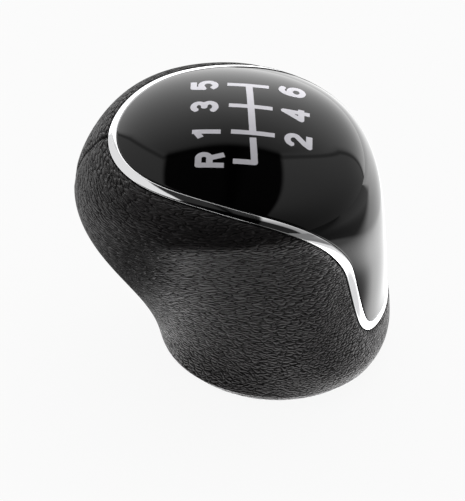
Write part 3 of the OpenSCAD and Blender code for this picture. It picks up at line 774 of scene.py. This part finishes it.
ink_levels = dome_level(*np.array([tuple(p) for p in plan]).T) + INK_LIFT
ink = bmesh.new()
dots = [ink.verts.new((p.x * MM, p.y * MM, z * MM)) for p, z in zip(plan, ink_levels)]
for triangle, strokes in zip(triangles, made_from):
    if strokes:
        ink.faces.new([dots[i] for i in triangle])
bmesh.ops.delete(ink, geom=[v for v in ink.verts if not v.link_faces], context="VERTS")
pattern_mesh = bpy.data.meshes.new("shift_pattern")
ink.to_mesh(pattern_mesh)
ink.free()
pattern_mesh.shade_smooth()
pattern_piece = bpy.data.objects.new("shift_pattern", pattern_mesh)
bpy.context.scene.collection.objects.link(pattern_piece)
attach(pattern_piece, "root")

INK_PALE, INK_GREY = (0.66, 0.65, 0.69, 1), (0.58, 0.57, 0.61, 1)
print_ink = Finish("silver_ink", base_color=(0.62, 0.61, 0.65, 1), metallic=0.7, roughness=0.48)
print_ink.mottle(print_ink.noise(3), INK_PALE, INK_GREY)
put_on(pattern_piece, print_ink)


# Hem ring and its screws
# A moulded plastic ring closes the foot and clamps the leather's hem against the core.
# Three countersunk steel screws hold it.
HEM_BLACK, HEM_GREY = (0.02, 0.02, 0.022, 1), (0.028, 0.028, 0.03, 1)
hem_plastic = Finish("hem_plastic", base_color=HEM_BLACK, roughness=0.6)
hem_plastic.mottle(hem_plastic.noise(5, 3), HEM_BLACK, HEM_GREY)
hem_plastic.drive("Roughness", 0.52 + 0.14 * hem_plastic.noise(1.5))
hem_plastic.bump(hem_plastic.noise(0.2, 3), 0.02)
put_on(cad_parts["hem_ring"], hem_plastic)

STEEL_PALE, STEEL_DEEP = (0.55, 0.55, 0.57, 1), (0.42, 0.42, 0.44, 1)
steel = Finish("screw_steel", base_color=(0.5, 0.5, 0.52, 1), metallic=1.0, roughness=0.35)
steel.mottle(steel.noise(1.5, 3), STEEL_PALE, STEEL_DEEP)
steel.drive("Roughness", 0.3 + 0.15 * steel.noise(0.8))
for number in (1, 2, 3):
    put_on(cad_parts[f"hem_screw_{number}"], steel)


# Floor and light
# A white floor under the foot, with painted light and shade that gloss sees on it, a white room,
# and one soft lamp overhead.
FLOOR_LEVEL, FLOOR_GAP, FLOOR_HALF = -6.0, 0.02, 3
CAMERA_SHARE, GLOSS_SHARE = 0.92, 0.8
floor_shape = bmesh.new()
bmesh.ops.create_grid(floor_shape, x_segments=1, y_segments=1, size=FLOOR_HALF)
floor_mesh = bpy.data.meshes.new("floor")
floor_shape.to_mesh(floor_mesh)
floor_shape.free()
floor_mesh.transform(Matrix.Translation((0, 0, (FLOOR_LEVEL - FLOOR_GAP) * MM)))
floor = bpy.data.objects.new("floor", floor_mesh)
bpy.context.scene.collection.objects.link(floor)

# Painted light and shade: what gloss sees of the sheet glows by the place on it in millimetres,
# bright where painted light falls behind the knob, darker at the knob's foot and beside it
sheet = Finish("white_floor_painted_gloss_light", base_color=(0.9, 0.9, 0.9, 1), roughness=0.9)
across, forward = (
    sheet.node("ShaderNodeSeparateXYZ", {}, sheet.place(), output=axis) for axis in ("X", "Y"))
reach = (across * across + forward * forward).root()
# The painted light's edge behind the knob runs in two straight lines that meet at the bend
EDGE_RIGHT, EDGE_BACK, BEND = -9, -57, -100
NEAR_SLOPE, FAR_SLOPE = 1.05, 0.64
back = forward - EDGE_BACK
near_back = back.at_least(BEND)
past_edge = across - EDGE_RIGHT + NEAR_SLOPE * near_back + FAR_SLOPE * (back - near_back)
# The painted lit part, which is brighter to the right and brightest close behind the knob
LIT, LIT_TO_RIGHT, LIT_CLOSE = 1.6, 1.3, 3.2
close_behind = forward.between(-72, -56) * (1 - across.between(-15, 45))
painted_lit_floor = LIT + LIT_TO_RIGHT * across.between(20, 200) + LIT_CLOSE * close_behind
# The painted shaded part, which is paler far off and round the knob
SHADED, SHADED_FAR, SHADED_NEAR = 0.1, 0.45, 0.7
painted_shaded_floor = SHADED + SHADED_FAR * reach.between(80, 160) * across.between(-90, 0)
painted_shaded_floor = painted_shaded_floor + SHADED_NEAR * (1 - reach.between(65, 73))
painted_rear_floor = painted_shaded_floor + past_edge.between(-12, 16) * painted_lit_floor
# In front the painted light is bright right at the foot and well ahead of the knob
FRONT, FRONT_AT_FOOT, FRONT_AHEAD = 0.06, 5.6, 1.2
painted_front_floor = FRONT + FRONT_AT_FOOT * (1 - reach.between(24, 36))
painted_front_floor = painted_front_floor + FRONT_AHEAD * forward.between(40, 64)
in_front = forward.between(-34, -18)
# Painted shadow: the far side of the foot is darkened as if it stood in the knob's own shade
PAINTED_FOOT_SHADE = 0.7
painted_foot_shadow = 1 - PAINTED_FOOT_SHADE * (1 - reach.between(27, 42)) * across.between(-22, 5)
painted_light_in_gloss = (in_front * painted_front_floor + (1 - in_front) * painted_rear_floor) * painted_foot_shadow
camera_ray, glossy_ray = (
    sheet.node("ShaderNodeLightPath", {}, output=f"Is {kind} Ray") for kind in ("Camera", "Glossy"))
# Camera rays see an even white glow over the lit floor; glossy rays see the painted light and shade
glow = sheet.node("ShaderNodeEmission", {}, camera_ray + glossy_ray * painted_light_in_gloss)
sheet.cover(camera_ray * CAMERA_SHARE + glossy_ray * GLOSS_SHARE, glow)
put_on(floor, sheet)

# The room, by the direction looked in: its share to the right, ahead and up, the first two
# again as seen on a ceiling at height 1, and the share to the right on the level
world = bpy.data.worlds.new("white_room")
world.use_nodes = True
bpy.context.scene.world = world
room = Nodes(world.node_tree)
way = room.node("ShaderNodeTexCoord", {}, output="Generated")
right, ahead, up = (
    room.node("ShaderNodeSeparateXYZ", {}, way, output=axis) for axis in ("X", "Y", "Z"))
rise = up.at_least(0.01)
over_right, over_ahead = right / rise, ahead / rise
turned_right = right / (right * right + ahead * ahead + 1e-6).root()
# White panels at the front and at the rear, darker towards the camera
FRONT_PANEL, REAR_PANEL, REAR_RISE, REAR_BY_WALL, UNPANELLED = 0.76, 0.5, 0.38, 0.35, 0.015
front_panel = FRONT_PANEL * ahead.between(0.0, 0.06) * turned_right.between(-0.1, 0.0)
by_wall = turned_right.between(0.5, 0.85) * (1 - up.between(0.1, 0.5))
rear_panel = (1 - ahead.between(-0.06, 0.0)) * turned_right.between(-0.62, -0.54)
rear_panel = rear_panel * (REAR_PANEL + REAR_RISE * turned_right + REAR_BY_WALL * by_wall)
panels = front_panel + rear_panel + UNPANELLED
# A dark strip overhead, from the camera to the back wall
STRIP_DARKENS = 0.97
strip = over_ahead.between(-0.29, -0.25) * (1 - over_ahead.between(0.38, 0.43))
panels = panels * (1 - STRIP_DARKENS * strip * up.between(0.25, 0.35))
# The bright back wall, brightest near its foot, with a dark joint round it
WALL_LEVEL, WALL_FADE = 4.0, 1.64
WALL_TOP, TOP_BACK, TOP_AHEAD = 0.87, -0.28, 0.42
SLOPE_BACK, SLOPE_AHEAD = 0.75, 1.26
WALL_END, END_LEAN, END_UPRIGHT = 0.62, 0.45, 0.5
CORNER_ROUND = 0.2
JOINT_DARKENS = 0.5
wall_level = WALL_LEVEL * (1 - up.clamped()) ** WALL_FADE
wall_top = WALL_TOP + SLOPE_BACK * (TOP_BACK - over_ahead).at_least(0)
wall_top = wall_top + SLOPE_AHEAD * (over_ahead - TOP_AHEAD).at_least(0)
wall_end = turned_right - WALL_END - END_LEAN * up.clamped().at_most(END_UPRIGHT)
inside_wall = room.node(
    "ShaderNodeMath", {"operation": "SMOOTH_MIN"},
    over_right - wall_top, 2 * wall_end, CORNER_ROUND)
wall = inside_wall.between(-0.03, 0.07)
joint = inside_wall.between(-0.07, -0.03) * (1 - inside_wall.between(-0.02, 0.02))
seen = (wall * wall_level + (1 - wall) * panels) * (1 - JOINT_DARKENS * joint)
# The soft light comes from the far side of the room and from low down, and not from above
# the camera
LIGHT_LEVEL = 1.05
unlit = up.between(0.1, 0.55) * (1 - right.between(-0.2, 0.45))
soft = LIGHT_LEVEL - unlit
camera_ray, glossy_ray = (
    room.node("ShaderNodeLightPath", {}, output=f"Is {kind} Ray") for kind in ("Camera", "Glossy"))
glow = camera_ray + (1 - camera_ray) * (glossy_ray * seen + (1 - glossy_ray) * soft)
background = world.node_tree.nodes["Background"]
room.tree.links.new(glow.socket, background.inputs["Color"])

LAMP_PLACE, LAMP_WIDTH, LAMP_POWER = (0.1, 0, 1.3), 1.2, 2
soft_lamp = bpy.data.lights.new("soft_top", "AREA")
soft_lamp.shape = "DISK"
soft_lamp.size = LAMP_WIDTH
soft_lamp.energy = LAMP_POWER
top_lamp = bpy.data.objects.new("soft_top", soft_lamp)
top_lamp.location = LAMP_PLACE
top_lamp.visible_glossy = False
bpy.context.scene.collection.objects.link(top_lamp)

bpy.context.scene.view_settings.view_transform = "Standard"
